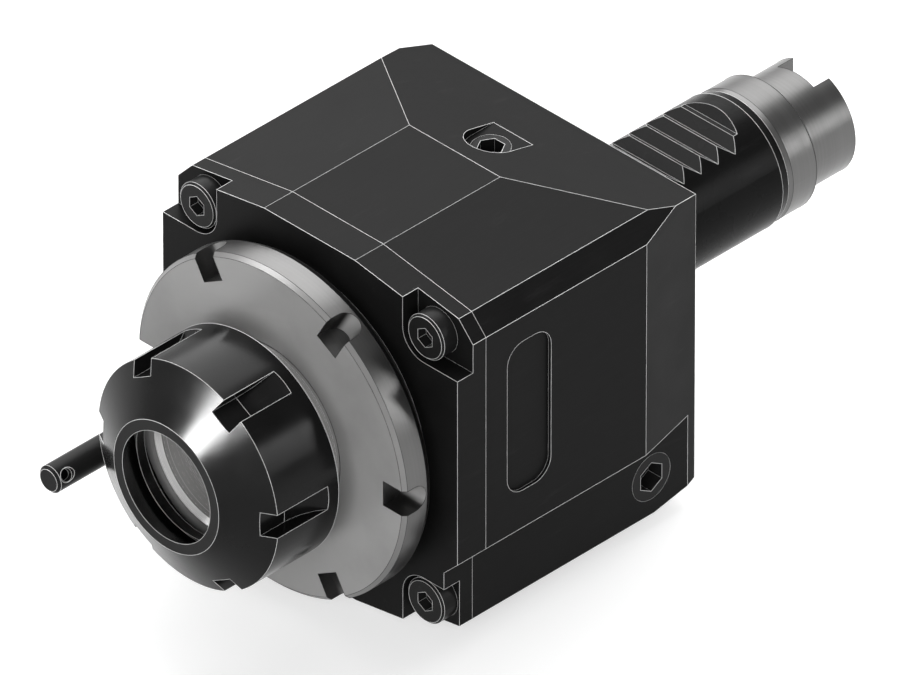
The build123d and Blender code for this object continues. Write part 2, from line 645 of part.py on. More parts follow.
def tapered_bearing(side):
    """Outer ring, inner ring, rollers and cage on one side of the middle plane."""
    with BuildPart() as outer_ring:
        revolve(
            bearing_profile(
                side,
                (radius_at(cup_line, 0), 0),
                (BEARING_OUTER_RADIUS, 0),
                (BEARING_OUTER_RADIUS, BEARING_CUP_WIDTH),
                (radius_at(cup_line, BEARING_CUP_WIDTH), BEARING_CUP_WIDTH),
            ),
            axis=Axis.Y,
        )
    with BuildPart() as inner_ring:
        revolve(
            bearing_profile(
                side,
                (BEARING_BORE_RADIUS + SEAT_CLEARANCE, 0),
                (radius_at(cone_line, 0), 0),
                rib_foot,
                rib_top,
                (rib_top[0], BEARING_WIDTH),
                (BEARING_BORE_RADIUS + SEAT_CLEARANCE, BEARING_WIDTH),
            ),
            axis=Axis.Y,
        )
    roller_plane = across(BEARING_MIDDLE_Y + side * ROLLER_FROM_MIDDLE)
    end_radii = (roller_small_radius, roller_big_radius)[::-side]
    with BuildPart(roller_plane) as rollers:
        with PolarLocations(ROLLER_PITCH_RADIUS, ROLLER_COUNT):
            Cone(*end_radii, ROLLER_LENGTH, rotation=(0, -side * ROLLER_TILT, 0))
    with BuildPart(roller_plane) as cage:
        revolve(
            bearing_profile(
                side,
                cage_inner_line[0],
                cage_outer_line[0],
                cage_outer_line[1],
                cage_inner_line[1],
            ),
            axis=Axis.Y,
        )
        with PolarLocations(ROLLER_PITCH_RADIUS, ROLLER_COUNT):
            Box(
                4 * CAGE_THICKNESS,
                2 * (roller_big_radius + LOOSE_CLEARANCE),
                ROLLER_LENGTH + 2 * LOOSE_CLEARANCE,
                rotation=(0, -side * ROLLER_TILT, 0),
                mode=Mode.SUBTRACT,
            )
    return {"outer_ring": outer_ring, "inner_ring": inner_ring, "rollers": rollers, "cage": cage}


# Two tapered roller bearings, back to back: the wide roller ends face outwards
bearing_pieces = {}
for bearing, side in (("front_bearing", -1), ("middle_bearing", 1)):
    for piece_name, piece in tapered_bearing(side).items():
        bearing_pieces[f"{bearing}_{piece_name}"] = piece

# Spindle: threaded nose with the collet taper, seal collar, bearing seat, long rear shaft
with BuildPart() as spindle:
    mouth_y = NOSE_Y + TAPER_MOUTH_CHAMFER
    taper_length = (TAPER_MOUTH_RADIUS - TOOL_BORE_RADIUS) / math.tan(
        math.radians(TAPER_HALF_ANGLE)
    )
    revolve(
        turned_profile(
            (TAPER_MOUTH_RADIUS + TAPER_MOUTH_CHAMFER, NOSE_Y),
            (NOSE_THREAD_RADIUS - NOSE_CHAMFER, NOSE_Y),
            (NOSE_THREAD_RADIUS, NOSE_Y + NOSE_CHAMFER),
            (NOSE_THREAD_RADIUS, NUT_REAR_Y + NUT_REAR_CHAMFER),
            (COLLAR_RADIUS, NUT_REAR_Y + NUT_REAR_CHAMFER),
            (COLLAR_RADIUS, BEARING_FRONT_Y),
            (BEARING_BORE_RADIUS, BEARING_FRONT_Y),
            (BEARING_BORE_RADIUS, SPINDLE_NUT_REAR_Y),
            (SHAFT_RADIUS, SPINDLE_NUT_REAR_Y),
            (SHAFT_RADIUS, COUPLING_FRONT_Y),
            (COUPLING_SEAT_RADIUS, COUPLING_FRONT_Y),
            (COUPLING_SEAT_RADIUS, SHAFT_END_Y),
            (0, SHAFT_END_Y),
            (0, NOSE_Y + TOOL_BORE_DEPTH),
            (TOOL_BORE_RADIUS, NOSE_Y + TOOL_BORE_DEPTH),
            (TOOL_BORE_RADIUS, mouth_y + taper_length),
            (TAPER_MOUTH_RADIUS, mouth_y),
        ),
        axis=Axis.Y,
    )
    # Tapped hole for the coupling screw and keyway for the coupling key
    with BuildSketch(across(SHAFT_END_Y)):
        Circle(COUPLING_SCREW_RADIUS + THREAD_CLEARANCE)
    extrude(amount=COUPLING_SCREW_LENGTH, mode=Mode.SUBTRACT)
    with BuildSketch(across(SHAFT_END_Y)):
        with Locations((COUPLING_SEAT_RADIUS - KEY_SHAFT_DEPTH - SEAT_CLEARANCE, 0)):
            Rectangle(
                KEY_SHAFT_DEPTH + HOLE_OVERRUN,
                KEY_WIDTH + 2 * SEAT_CLEARANCE,
                align=(Align.MIN, Align.CENTER),
            )
    extrude(amount=COUPLING_SEAT_LENGTH, mode=Mode.SUBTRACT)

# Slotted nut that draws the bearings together on the spindle
with BuildPart() as spindle_nut:
    revolve(
        ring_profile(
            BEARING_BORE_RADIUS + THREAD_CLEARANCE,
            SPINDLE_NUT_RADIUS,
            BEARING_REAR_Y,
            SPINDLE_NUT_REAR_Y,
        ),
        axis=Axis.Y,
    )
    with BuildSketch(across(SPINDLE_NUT_REAR_Y)):
        with PolarLocations(SPINDLE_NUT_RADIUS, SPINDLE_NUT_SLOTS):
            Rectangle(2 * SPINDLE_NUT_SLOT_DEPTH, SPINDLE_NUT_SLOT_WIDTH)
    extrude(amount=SPINDLE_NUT_WIDTH, mode=Mode.SUBTRACT)

# End ring of the shank, which holds the needle bearing and the rear seal
with BuildPart() as end_ring:
    revolve(
        turned_profile(
            (NEEDLE_CUP_RADIUS + SEAT_CLEARANCE, SPIGOT_FRONT_Y),
            (END_RING_SPIGOT_RADIUS, SPIGOT_FRONT_Y),
            (END_RING_SPIGOT_RADIUS, SHANK_LENGTH),
            (END_RING_RADIUS - END_RING_CHAMFER, SHANK_LENGTH),
            (END_RING_RADIUS, SHANK_LENGTH + END_RING_LEAD),
            (END_RING_RADIUS, END_RING_REAR_Y - END_RING_CHAMFER),
            (END_RING_RADIUS - END_RING_CHAMFER, END_RING_REAR_Y),
            (NEEDLE_CUP_RADIUS + SEAT_CLEARANCE, END_RING_REAR_Y),
        ),
        axis=Axis.Y,
    )

# Needle bearing: drawn cup, needles and their cage
needle_radius = (NEEDLE_CUP_RADIUS - NEEDLE_CUP_WALL - SHAFT_RADIUS) / 2 - ROLLING_CLEARANCE
needle_pitch_radius = (NEEDLE_CUP_RADIUS - NEEDLE_CUP_WALL + SHAFT_RADIUS) / 2
needle_rear_y = END_RING_REAR_Y - REAR_SEAL_WIDTH
needle_middle_y = needle_rear_y - NEEDLE_CUP_LENGTH / 2

with BuildPart() as needle_cup:
    revolve(
        ring_profile(
            NEEDLE_CUP_RADIUS - NEEDLE_CUP_WALL,
            NEEDLE_CUP_RADIUS,
            needle_rear_y - NEEDLE_CUP_LENGTH,
            needle_rear_y,
        ),
        axis=Axis.Y,
    )

with BuildPart() as needles:
    with BuildSketch(across(needle_middle_y + NEEDLE_LENGTH / 2)):
        with PolarLocations(needle_pitch_radius, NEEDLE_COUNT):
            Circle(needle_radius)
    extrude(amount=NEEDLE_LENGTH)

with BuildPart() as needle_cage:
    with BuildSketch(across(needle_middle_y)):
        Circle(needle_pitch_radius + NEEDLE_CAGE_THICKNESS / 2)
        Circle(needle_pitch_radius - NEEDLE_CAGE_THICKNESS / 2, mode=Mode.SUBTRACT)
    extrude(amount=NEEDLE_CUP_LENGTH / 2 - LOOSE_CLEARANCE, both=True)
    with BuildSketch(across(needle_middle_y)):
        with PolarLocations(needle_pitch_radius, NEEDLE_COUNT):
            Rectangle(2 * NEEDLE_CAGE_THICKNESS, 2 * (needle_radius + LOOSE_CLEARANCE))
    extrude(amount=NEEDLE_LENGTH / 2 + LOOSE_CLEARANCE, both=True, mode=Mode.SUBTRACT)

# Rear shaft seal
with BuildPart() as rear_seal:
    revolve(
        ring_profile(
            SHAFT_RADIUS + RUNNING_CLEARANCE,
            NEEDLE_CUP_RADIUS,
            END_RING_REAR_Y - REAR_SEAL_WIDTH,
            END_RING_REAR_Y,
        ),
        axis=Axis.Y,
    )

# Drive coupling: slotted hub on the keyed end of the spindle
with BuildPart() as drive_coupling:
    with BuildSketch(across(COUPLING_REAR_Y)):
        Circle(COUPLING_RADIUS)
    extrude(amount=COUPLING_LENGTH)
    with BuildSketch(across(COUPLING_REAR_Y)):
        Rectangle(DRIVE_SLOT_WIDTH, 2 * COUPLING_RADIUS + HOLE_OVERRUN)
    extrude(amount=DRIVE_SLOT_DEPTH, mode=Mode.SUBTRACT)
    with BuildSketch(across(COUPLING_FRONT_Y)):
        Circle(COUPLING_SEAT_RADIUS + SEAT_CLEARANCE)
        with Locations((0, 0)):
            Rectangle(
                COUPLING_SEAT_RADIUS + KEY_HUB_DEPTH,
                KEY_WIDTH + 2 * SEAT_CLEARANCE,
                align=(Align.MIN, Align.CENTER),
            )
    extrude(amount=-(COUPLING_SEAT_LENGTH + LOOSE_CLEARANCE), mode=Mode.SUBTRACT)
    # Through hole and countersink of the coupling screw
    screw_hole_radius = COUPLING_SCREW_RADIUS + LOOSE_CLEARANCE
    head_hole_radius = COUPLING_SCREW_HEAD_RADIUS + LOOSE_CLEARANCE
    revolve(
        turned_profile(
            (0, COUPLING_FRONT_Y),
            (screw_hole_radius, COUPLING_FRONT_Y),
            (screw_hole_radius, DRIVE_SLOT_FLOOR_Y - head_hole_radius + screw_hole_radius),
            (head_hole_radius, DRIVE_SLOT_FLOOR_Y),
            (0, DRIVE_SLOT_FLOOR_Y),
        ),
        axis=Axis.Y,
        mode=Mode.SUBTRACT,
    )

# Key between spindle and coupling
with BuildPart() as coupling_key:
    with BuildSketch(across(SHAFT_END_Y)):
        with Locations((COUPLING_SEAT_RADIUS - KEY_SHAFT_DEPTH, 0)):
            Rectangle(
                KEY_SHAFT_DEPTH + KEY_HUB_DEPTH - SEAT_CLEARANCE,
                KEY_WIDTH,
                align=(Align.MIN, Align.CENTER),
            )
    extrude(amount=COUPLING_SEAT_LENGTH - LOOSE_CLEARANCE)

# Countersunk screw that holds the coupling on the spindle
with BuildPart() as coupling_screw:
    head_bottom_y = DRIVE_SLOT_FLOOR_Y - COUPLING_SCREW_HEAD_RADIUS + COUPLING_SCREW_RADIUS
    revolve(
        turned_profile(
            (0, DRIVE_SLOT_FLOOR_Y),
            (COUPLING_SCREW_HEAD_RADIUS, DRIVE_SLOT_FLOOR_Y),
            (COUPLING_SCREW_RADIUS, head_bottom_y),
            (COUPLING_SCREW_RADIUS, DRIVE_SLOT_FLOOR_Y - COUPLING_SCREW_LENGTH),
            (0, DRIVE_SLOT_FLOOR_Y - COUPLING_SCREW_LENGTH),
        ),
        axis=Axis.Y,
    )
    with BuildSketch(across(DRIVE_SLOT_FLOOR_Y)):
        RegularPolygon(COUPLING_SCREW_HEX / 2, 6, major_radius=False)
    extrude(amount=COUPLING_SCREW_HEX_DEPTH, mode=Mode.SUBTRACT)

# Spanner slot of the clamping nut: a flat floor that ends in the cutter's run-out
with BuildPart() as nut_slot:
    with BuildSketch(Plane.XY):
        flat_end_y = NUT_FRONT_Y + NUT_SLOT_FLAT_END
        with Locations((NUT_SLOT_FLOOR_RADIUS, flat_end_y)):
            Rectangle(
                NUT_RADIUS - NUT_SLOT_FLOOR_RADIUS + HOLE_OVERRUN,
                NUT_SLOT_FLAT_END + HOLE_OVERRUN,
                align=(Align.MIN, Align.MAX),
            )
        with Locations((NUT_SLOT_FLOOR_RADIUS + NUT_SLOT_CUTTER_RADIUS, flat_end_y)):
            Circle(NUT_SLOT_CUTTER_RADIUS)
    extrude(amount=NUT_SLOT_WIDTH / 2, both=True)

# Clamping nut with its collet cone, the groove of the extractor ring and six spanner slots
extractor_front_y = NUT_FRONT_Y + EXTRACTOR_SEAT
extractor_rear_y = extractor_front_y + EXTRACTOR_THICKNESS
with BuildPart() as clamping_nut:
    cone_end_radius = NUT_MOUTH_RADIUS + EXTRACTOR_SEAT * math.tan(math.radians(NUT_COLLET_ANGLE))
    groove_radius = EXTRACTOR_OUTER_RADIUS + RUNNING_CLEARANCE
    ledge_front_y = extractor_rear_y + RUNNING_CLEARANCE
    ledge_rear_y = ledge_front_y + EXTRACTOR_LEDGE_WIDTH
    revolve(
        turned_profile(
            (NUT_MOUTH_RADIUS, NUT_FRONT_Y),
            (NUT_FACE_RADIUS, NUT_FRONT_Y),
            (NUT_RADIUS, NUT_FRONT_Y + NUT_CONE_LENGTH),
            (NUT_RADIUS, NUT_REAR_Y - NUT_REAR_CHAMFER),
            (NUT_RADIUS - NUT_REAR_CHAMFER, NUT_REAR_Y),
            (NOSE_THREAD_RADIUS + THREAD_CLEARANCE, NUT_REAR_Y),
            (NOSE_THREAD_RADIUS + THREAD_CLEARANCE, ledge_rear_y),
            (EXTRACTOR_LEDGE_RADIUS, ledge_rear_y),
            (EXTRACTOR_LEDGE_RADIUS, ledge_front_y),
            (groove_radius, ledge_front_y),
            (groove_radius, extractor_front_y - RUNNING_CLEARANCE),
            (cone_end_radius, extractor_front_y - RUNNING_CLEARANCE),
        ),
        axis=Axis.Y,
    )
    for slot in range(NUT_SLOT_COUNT):
        add(nut_slot.part.rotate(Axis.Y, slot * 360 / NUT_SLOT_COUNT), mode=Mode.SUBTRACT)

# Extractor ring, whose lip pulls the collet out of the taper
with BuildPart() as extractor_ring:
    revolve(
        turned_profile(
            (EXTRACTOR_LIP_RADIUS, extractor_front_y - EXTRACTOR_LIP_REACH),
            (cone_end_radius - 2 * LOOSE_CLEARANCE, extractor_front_y),
            (EXTRACTOR_OUTER_RADIUS, extractor_front_y),
            (EXTRACTOR_OUTER_RADIUS, extractor_rear_y),
            (EXTRACTOR_BACK_RADIUS, extractor_rear_y),
        ),
        axis=Axis.Y,
    )

# Coolant pipe: blind tube with a jet hole that points at the spindle's axis
pipe_tip_y = FRONT_Y - PIPE_REACH
with BuildPart() as coolant_pipe:
    with BuildSketch(across(FRONT_Y)):
        with Locations((PIPE_X, PIPE_Z)):
            Circle(PIPE_RADIUS)
    extrude(amount=PIPE_REACH)
    chamfer(coolant_pipe.edges().sort_by(Axis.Y)[0], length=PIPE_TIP_CHAMFER)
    with BuildSketch(across(FRONT_Y)):
        with Locations((PIPE_X, PIPE_Z)):
            Circle(PIPE_SPIGOT_RADIUS)
    extrude(amount=-PIPE_SPIGOT_LENGTH)
    with BuildSketch(across(FRONT_Y + PIPE_SPIGOT_LENGTH)):
        with Locations((PIPE_X, PIPE_Z)):
            Circle(PIPE_BORE_RADIUS)
    extrude(
        amount=PIPE_REACH + PIPE_SPIGOT_LENGTH - PIPE_END_WALL,
        mode=Mode.SUBTRACT,
    )
    jet_plane = Plane(
        origin=(PIPE_X, pipe_tip_y + JET_FROM_TIP, PIPE_Z),
        x_dir=(0, 1, 0),
        z_dir=(-PIPE_X, 0, -PIPE_Z),
    )
    with BuildSketch(jet_plane):
        Circle(JET_RADIUS)
    extrude(amount=PIPE_RADIUS + HOLE_OVERRUN, mode=Mode.SUBTRACT)
    with BuildSketch(jet_plane.offset(PIPE_RADIUS - JET_CHAMFER)):
        Circle(JET_RADIUS)
    extrude(amount=JET_CHAMFER + HOLE_OVERRUN, taper=-45, mode=Mode.SUBTRACT)

# Plug of the cross drilling, flush with the lower right side
with BuildPart() as side_plug:
    with BuildSketch(Plane.YZ.offset(LOWER_X)):
        with Locations((SIDE_PLUG_Y, SIDE_PLUG_Z)):
            Circle(SIDE_PLUG_RADIUS)
    extrude(amount=-SIDE_PLUG_LENGTH)
    with BuildSketch(Plane.YZ.offset(LOWER_X)):
        with Locations((SIDE_PLUG_Y, SIDE_PLUG_Z)):
            RegularPolygon(SIDE_PLUG_HEX / 2, 6, major_radius=False, rotation=30)
    extrude(amount=-SIDE_PLUG_HEX_DEPTH, mode=Mode.SUBTRACT)

# Plug of the grease port, flush with the floor of the top pocket
with BuildPart() as top_plug:
    with BuildSketch(Plane.XY.offset(TOP_POCKET_FLOOR_Z)):
        with Locations((0, TOP_PLUG_Y)):
            Circle(TOP_PLUG_RADIUS)
    extrude(amount=-TOP_PLUG_LENGTH)
    with BuildSketch(Plane.XY.offset(TOP_POCKET_FLOOR_Z)):
        with Locations((0, TOP_PLUG_Y)):
            RegularPolygon(TOP_PLUG_HEX / 2, 6, major_radius=False)
    extrude(amount=-TOP_PLUG_HEX_DEPTH, mode=Mode.SUBTRACT)

# Flat seal ring at the coolant inlet
with BuildPart() as inlet_seal:
    with BuildSketch(across(0)):
        with Locations((DRILLING_X, DRILLING_Z)):
            Circle(INLET_SEAL_RADIUS)
            Circle(INLET_RADIUS, mode=Mode.SUBTRACT)
    extrude(amount=INLET_SEAL_THICKNESS)

pieces = {
    "housing": housing,
    "shank_seal": shank_seal,
    "front_cover": front_cover,
    "cover_screws": cover_screws,
    "dowel_pins": dowel_pins,
    "bearing_lock_ring": bearing_lock_ring,
    "front_seal": front_seal,
    **bearing_pieces,
    "spindle": spindle,
    "spindle_nut": spindle_nut,
    "end_ring": end_ring,
    "needle_cup": needle_cup,
    "needles": needles,
    "needle_cage": needle_cage,
    "rear_seal": rear_seal,
    "drive_coupling": drive_coupling,
    "coupling_key": coupling_key,
    "coupling_screw": coupling_screw,
    "clamping_nut": clamping_nut,
    "extractor_ring": extractor_ring,
    "coolant_pipe": coolant_pipe,
    "side_plug": side_plug,
    "top_plug": top_plug,
    "inlet_seal": inlet_seal,
}
os.makedirs("parts", exist_ok=True)
for label, piece in pieces.items():
    piece.part.label = label
    export_step(piece.part, f"parts/{label}.step")
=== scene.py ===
import json
import math

import bpy
import numpy as np
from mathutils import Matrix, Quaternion, Vector
from mathutils.bvhtree import BVHTree

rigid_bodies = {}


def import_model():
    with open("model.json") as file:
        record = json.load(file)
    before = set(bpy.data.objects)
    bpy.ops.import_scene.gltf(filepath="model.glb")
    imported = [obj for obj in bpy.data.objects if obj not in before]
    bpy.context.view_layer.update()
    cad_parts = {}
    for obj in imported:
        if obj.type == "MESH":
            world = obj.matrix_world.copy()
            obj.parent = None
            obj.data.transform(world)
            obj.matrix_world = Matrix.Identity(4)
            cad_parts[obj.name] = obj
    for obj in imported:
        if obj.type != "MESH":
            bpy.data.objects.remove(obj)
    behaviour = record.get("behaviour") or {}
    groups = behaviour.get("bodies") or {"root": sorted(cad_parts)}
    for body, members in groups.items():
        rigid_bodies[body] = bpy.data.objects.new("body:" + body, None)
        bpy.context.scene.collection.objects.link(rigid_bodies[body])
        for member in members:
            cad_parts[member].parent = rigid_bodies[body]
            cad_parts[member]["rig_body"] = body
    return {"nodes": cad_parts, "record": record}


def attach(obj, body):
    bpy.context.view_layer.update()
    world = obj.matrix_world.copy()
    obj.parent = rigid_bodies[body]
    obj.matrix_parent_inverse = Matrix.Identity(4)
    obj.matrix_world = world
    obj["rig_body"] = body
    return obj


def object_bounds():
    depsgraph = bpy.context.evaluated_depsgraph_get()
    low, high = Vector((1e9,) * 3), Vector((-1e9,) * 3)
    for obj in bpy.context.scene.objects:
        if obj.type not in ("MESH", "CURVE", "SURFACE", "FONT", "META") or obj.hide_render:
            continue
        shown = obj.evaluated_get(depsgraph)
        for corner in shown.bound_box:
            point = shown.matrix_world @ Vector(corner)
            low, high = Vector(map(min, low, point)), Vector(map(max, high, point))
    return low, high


# Look of the axial driven tool holder: black oxide block and nut, satin lock ring and coupling,
# bright worn edges, pale floor and soft studio light. Lengths are in metres.

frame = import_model()
cad_low, cad_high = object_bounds()
cad_nodes = frame["nodes"]
slots = {part["node"]: part["material_slot"] for part in frame["record"]["subparts"]}


# Procedural finishes

# Sockets of a Mix node, for numbers and for colours
MIX_FACTOR, NUMBER_A, NUMBER_B, COLOUR_A, COLOUR_B = 0, 2, 3, 6, 7
MIXED_NUMBER, MIXED_COLOUR = 0, 2

# Noise cells per metre, across and along the marks that a tool leaves. Turned marks have
# radius and length as coordinates, ground ones X, Y and Z.
OXIDE_GRAIN = {"turned": (6000.0, 6000.0, 1.0), "ground": (2600.0, 130.0, 2600.0)}
FINE_LINES = {"turned": (9000.0, 9000.0, 1.0), "ground": (5000.0, 160.0, 5000.0)}
DEEP_LINES = {"turned": (1500.0, 1500.0, 1.0), "ground": (900.0, 45.0, 900.0)}
RUBBED_STREAKS = (420.0, 60.0, 420.0)

# Tones as multiples of the metal's own, and how much of them shows
GRAIN_TONE, GRAIN_SHARE = 1.7, 0.16
RUBBED_TONE, RUBBED_SHARE = 4.0, 0.3
STAIN_TONE, STAIN_SHARE = 0.8, 0.25
LINE_CONTRAST = 0.05

# Surfaces count as square to the spindle, for the painted light on faces, between these lengths of
# their normal along it
SQUARE_FROM, SQUARE_TO = 0.6, 0.9

# The shank starts at the seating face, where y is 0, and changes finish over this length
SHANK_FADE = 0.0004


class Finish:
    """A Principled material with its texture nodes."""

    def __init__(self, name, metallic=0.0, specular=0.5):
        self.material = bpy.data.materials.new(name)
        self.material.use_nodes = True
        self.tree = self.material.node_tree
        self.shader = self.tree.nodes["Principled BSDF"]
        self.set("Metallic", metallic)
        self.set("Specular IOR Level", specular)
        self.place = self.add("ShaderNodeTexCoord").outputs["Object"]

    def set(self, socket, value):
        """Gives the shader a value that is the same all over the surface."""
        self.shader.inputs[socket].default_value = value

    def use(self, socket, value):
        """Gives the shader a value that a node works out."""
        self.tree.links.new(value, self.shader.inputs[socket])

    def add(self, kind, links=(), **settings):
        """A node with its settings, and with each input linked to a socket or set to a value."""
        node = self.tree.nodes.new(kind)
        for name, value in settings.items():
            setattr(node, name, value)
        for key, value in links:
            if isinstance(value, bpy.types.NodeSocket):
                self.tree.links.new(value, node.inputs[key])
            else:
                node.inputs[key].default_value = value
        return node

    def scaled(self, vector, scale):
        return self.add("ShaderNodeMapping", [("Vector", vector), ("Scale", scale)]).outputs[0]

    def stretched(self, scale):
        """Object coordinates times a scale for each axis."""
        return self.scaled(self.place, scale)

    def turned(self, scale):
        """Radius about the spindle's axis and length along it, times a scale for each."""
        split = self.add("ShaderNodeSeparateXYZ", [("Vector", self.place)]).outputs
        flat = self.add("ShaderNodeCombineXYZ", [("X", split["X"]), ("Z", split["Z"])])
        radius = self.add("ShaderNodeVectorMath", [(0, flat.outputs[0])], operation="LENGTH")
        links = [("X", radius.outputs["Value"]), ("Y", split["Y"])]
        return self.scaled(self.add("ShaderNodeCombineXYZ", links).outputs[0], scale)

    def noise(self, vector, scale=1.0, detail=3.0, roughness=0.5):
        links = [("Vector", vector), ("Scale", scale), ("Detail", detail), ("Roughness", roughness)]
        return self.add("ShaderNodeTexNoise", links).outputs["Fac"]

    def marked(self, marks, scales, detail):
        """Noise drawn out into turned or ground marks."""
        place = self.turned if marks == "turned" else self.stretched
        return self.noise(place(scales[marks]), detail=detail)

    def spread(self, value, low=0.0, high=1.0, start=0.3, end=0.7):
        """The value's stretch from start to end, mapped onto low to high."""
        links = [("Value", value), ("From Min", start), ("From Max", end)]
        links += [("To Min", low), ("To Max", high)]
        return self.add("ShaderNodeMapRange", links).outputs[0]

    def mix(self, factor, a, b):
        """Colour a at factor 0 and colour b at factor 1."""
        links = [(MIX_FACTOR, factor), (COLOUR_A, a), (COLOUR_B, b)]
        return self.add("ShaderNodeMix", links, data_type="RGBA").outputs[MIXED_COLOUR]

    def relief(self, height, depth):
        """Bump from a height of 0 to 1 that stands for the given depth."""
        links = [("Strength", 1.0), ("Distance", depth), ("Height", height)]
        self.use("Normal", self.add("ShaderNodeBump", links).outputs["Normal"])


def grey(level, warmth=0.0):
    """Linear colour, with a little warmth."""
    return (level * (1 + warmth), level, level * (1 - warmth), 1.0)


def oxide(name, dark, light, rough, specular, marks, depth, shank_rough=None):
    """Black oxide on ground or turned steel: cloudy tone, grain lines and fine rubbed streaks.

    Where a roughness for it is given, the shank behind the seating face has that one.
    """
    finish = Finish(name, specular=specular)
    cloud = finish.noise(finish.place, scale=90.0, detail=4.0)
    grain = finish.marked(marks, OXIDE_GRAIN, detail=2.0)
    rubbed = finish.noise(finish.stretched(RUBBED_STREAKS), detail=5.0, roughness=0.62)
    tone = finish.mix(finish.spread(cloud), grey(dark), grey(light))
    tone = finish.mix(finish.spread(grain, high=GRAIN_SHARE), tone, grey(light * GRAIN_TONE))
    streaks = finish.spread(rubbed, high=RUBBED_SHARE, start=0.62, end=0.82)
    finish.use("Base Color", finish.mix(streaks, tone, grey(light * RUBBED_TONE)))
    roughness = finish.spread(cloud, rough - 0.04, rough + 0.05)
    if shank_rough:
        length = finish.add("ShaderNodeSeparateXYZ", [("Vector", finish.place)]).outputs["Y"]
        on_shank = finish.spread(length, start=0.0, end=SHANK_FADE)
        ground = finish.spread(cloud, shank_rough - 0.03, shank_rough + 0.03)
        links = [(MIX_FACTOR, on_shank), (NUMBER_A, roughness), (NUMBER_B, ground)]
        roughness = finish.add("ShaderNodeMix", links).outputs[MIXED_NUMBER]
    finish.use("Roughness", roughness)
    finish.relief(grain, depth)
    return finish.material


def metal(name, base, rough, marks, depth, warmth=0.008, painted_face_tone=None, metallic=1.0):
    """Bare steel with grinding or turning lines, a few deeper ones and faint stains.

    Where a level for them is given, surfaces square to the spindle take that paler grey and lose
    their metal, as painted light that makes these faces look brighter than the turned rims.
    """
    finish = Finish(name, metallic=metallic)
    fine = finish.marked(marks, FINE_LINES, detail=2.0)
    deep = finish.marked(marks, DEEP_LINES, detail=3.0)
    stain = finish.noise(finish.place, scale=70.0, detail=5.0)
    darker = grey(base * (1 - LINE_CONTRAST), warmth)
    lighter = grey(base * (1 + LINE_CONTRAST), warmth)
    tone = finish.mix(finish.spread(deep), darker, lighter)
    # Painted light: faces square to the spindle get a paler grey and less metal, so they read as
    # brightly lit
    if painted_face_tone:
        normal = finish.add("ShaderNodeNewGeometry").outputs["Normal"]
        along = finish.add("ShaderNodeSeparateXYZ", [("Vector", normal)]).outputs["Y"]
        square = finish.add("ShaderNodeMath", [(0, along)], operation="ABSOLUTE").outputs[0]
        painted_light_mask = finish.spread(square, start=SQUARE_FROM, end=SQUARE_TO)
        tone = finish.mix(painted_light_mask, tone, grey(painted_face_tone, warmth))
        finish.use("Metallic", finish.spread(painted_light_mask, metallic, 0.0, start=0.0, end=1.0))
    stains = finish.spread(stain, high=STAIN_SHARE, start=0.5, end=0.8)
    finish.use("Base Color", finish.mix(stains, tone, grey(base * STAIN_TONE, warmth)))
    finish.use("Roughness", finish.spread(fine, rough - 0.05, rough + 0.05))
    finish.relief(fine, depth)
    return finish.material


def rubber(name):
    """Black rubber with faint clouds and fine pores."""
    finish = Finish(name, specular=0.25)
    cloud = finish.noise(finish.place, scale=260.0, detail=5.0)
    pores = finish.noise(finish.place, scale=4200.0, detail=2.0)
    finish.use("Base Color", finish.mix(finish.spread(cloud), grey(0.012), grey(0.022)))
    finish.use("Roughness", finish.spread(pores, 0.6, 0.8))
    finish.relief(pores, depth=0.00001)
    return finish.material


def edge_steel(name, low, high, metallic):
    """Edge line, a little uneven along its length."""
    finish = Finish(name, metallic=metallic, specular=0.2)
    wear = finish.noise(finish.place, scale=700.0, detail=3.0)
    finish.use("Base Color", finish.mix(finish.spread(wear), grey(low), grey(high)))
    finish.use("Roughness", finish.spread(wear, 0.5, 0.65))
    return finish.material


finishes = {
    "black_oxide_steel": oxide(
        "black_oxide",
        dark=0.0055,
        light=0.0085,
        rough=0.42,
        specular=0.048,
        marks="ground",
        depth=0.0000015,
        shank_rough=0.26,
    ),
    "nut_steel": oxide(
        "black_nut",
        dark=0.004,
        light=0.006,
        rough=0.2,
        specular=0.11,
        marks="turned",
        depth=0.0000008,
    ),
    "screw_steel": oxide(
        "black_screws",
        dark=0.01,
        light=0.014,
        rough=0.36,
        specular=0.08,
        marks="ground",
        depth=0.000002,
    ),
    "pipe_steel": oxide(
        "black_pipe",
        dark=0.008,
        light=0.012,
        rough=0.3,
        specular=0.07,
        marks="ground",
        depth=0.0000015,
    ),
    # In both steels below, the faced level is painted light: a paler grey on faces square to the
    # spindle
    "satin_steel": metal(
        "satin_steel", base=0.125, rough=0.33, marks="turned", depth=0.000001, painted_face_tone=0.345
    ),
    "ground_steel": metal(
        "ground_steel",
        base=0.6,
        rough=0.24,
        marks="turned",
        depth=0.000001,
        painted_face_tone=0.3,
        metallic=0.6,
    ),
    "bearing_steel": metal(
        "bearing_steel", base=0.52, rough=0.2, marks="turned", depth=0.000001, warmth=0.0
    ),
    "cage_steel": metal("cage_steel", base=0.35, rough=0.4, marks="ground", depth=0.000003),
    "seal_rubber": rubber("seal_rubber"),
}
for label, piece in cad_nodes.items():
    for slot in piece.material_slots:
        slot.material = finishes[slots[label]]


# Thin lines along the edges of each piece, bright or dark

EDGE_RADIUS = 0.00005
EDGE_MIN_ANGLE = math.radians(8)

# The nut also shows where its slots begin to run out
LEAST_ANGLES = {"clamping_nut": 0.0}

# Beyond this radius a piece runs inside another, so its edges stay bare
BARE_RADII = {"spindle": 0.0165, "extractor_ring": 0.0165}

# Room for rounding in the cosine of an angle, so that an angle of 0 counts too
COSINE_SLACK = 1e-9

# Decimals to which points agree, in neighbouring faces and in neighbouring pieces
FACE_DECIMALS = 7
PIECE_DECIMALS = 6

